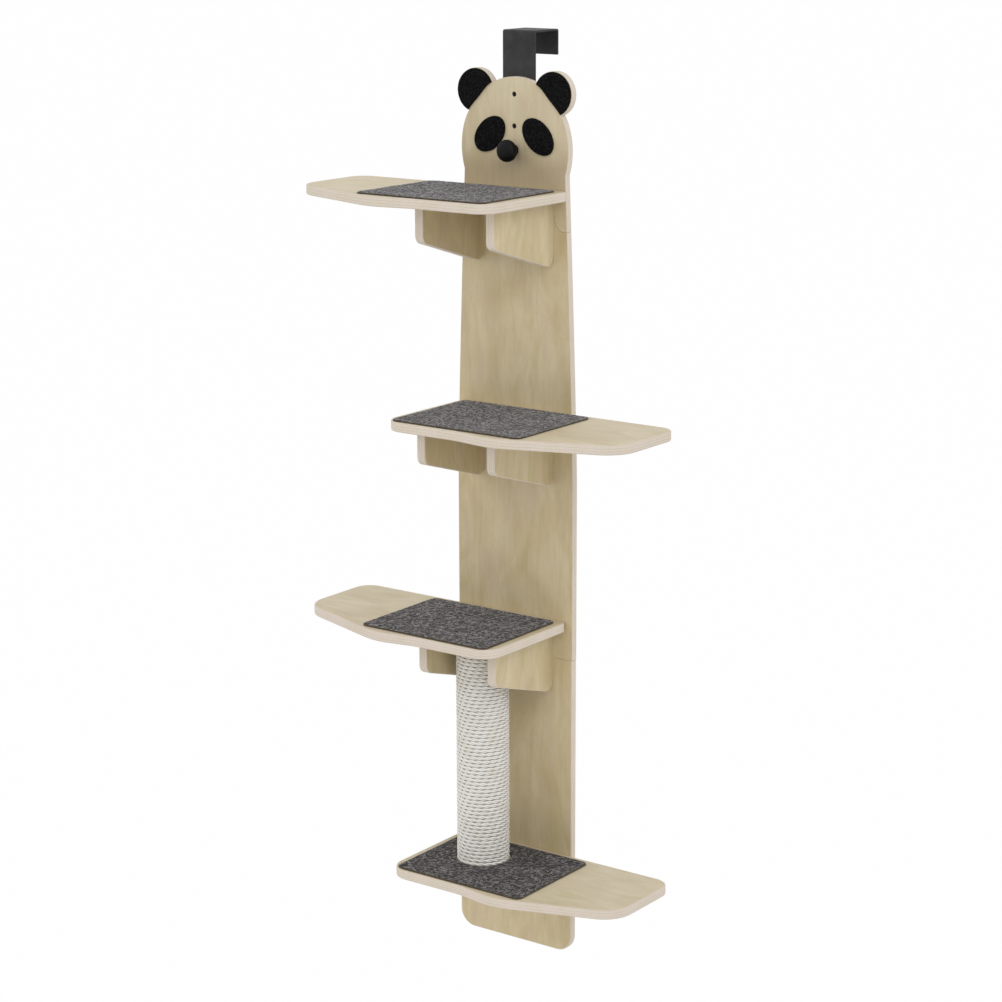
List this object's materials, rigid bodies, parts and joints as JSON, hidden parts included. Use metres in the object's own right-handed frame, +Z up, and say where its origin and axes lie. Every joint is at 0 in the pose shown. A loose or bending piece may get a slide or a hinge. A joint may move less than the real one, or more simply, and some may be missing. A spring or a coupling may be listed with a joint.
{
  "type": "door hanging cat climber",
  "caption": "Plywood cat climber that hangs on a door top: panda-faced back board, carpeted side-stepping shelves on brackets and a rope scratching post.",
  "frame": {"origin": "middle of the hook's seat, on the underside of the hook's top plate where it rests on the door's top edge", "axes": "+X to the right seen from the front, -Y out of the climber's front face away from the door, +Z up"},
  "size_m": [0.602, 0.2889, 1.459],
  "materials": {
    "board_plywood": "clear satin lacquer",
    "shelf_plywood": "clear satin lacquer",
    "bracket_plywood": "clear satin lacquer",
    "mat_carpet": "heather cut pile with a dark bound edge",
    "black_felt": "dense felt",
    "hook_steel": "matt powder coat",
    "black_bolts": "black oxide",
    "nose_black": "satin black paint",
    "door_foam": "closed-cell foam",
    "core_card": "plain card",
    "rope": "twisted three-strand rope",
    "plug_wood": "raw wood",
    "zinc_steel": "zinc plated"
  },
  "bodies": {
    "root": {"door_hook": "hook_steel", "hook_bolts": "black_bolts", "head_board": "board_plywood", "middle_board": "board_plywood", "lower_board": "board_plywood", "left_ear_pad": "black_felt", "right_ear_pad": "black_felt", "left_eye_pad": "black_felt", "right_eye_pad": "black_felt", "nose_knob": "nose_black", "nose_screw": "zinc_steel", "top_shelf": "shelf_plywood", "second_shelf": "shelf_plywood", "third_shelf": "shelf_plywood", "bottom_shelf": "shelf_plywood", "top_mat": "mat_carpet", "second_mat": "mat_carpet", "third_mat": "mat_carpet", "bottom_mat": "mat_carpet", "top_left_bracket": "bracket_plywood", "top_right_bracket": "bracket_plywood", "second_left_bracket": "bracket_plywood", "second_right_bracket": "bracket_plywood", "third_left_bracket": "bracket_plywood", "third_right_bracket": "bracket_plywood", "bracket_screws": "zinc_steel", "shelf_top_screws": "zinc_steel", "shelf_back_screws": "zinc_steel", "upper_joining_plate": "zinc_steel", "lower_joining_plate": "zinc_steel", "joining_screws": "zinc_steel", "door_pads": "door_foam", "post_core": "core_card", "post_rope": "rope", "post_top_plug": "plug_wood", "post_bottom_plug": "plug_wood", "post_insert_nuts": "zinc_steel", "post_top_bolt": "zinc_steel", "post_bottom_bolt": "zinc_steel", "post_washers": "zinc_steel"}
  },
  "joints": []
}
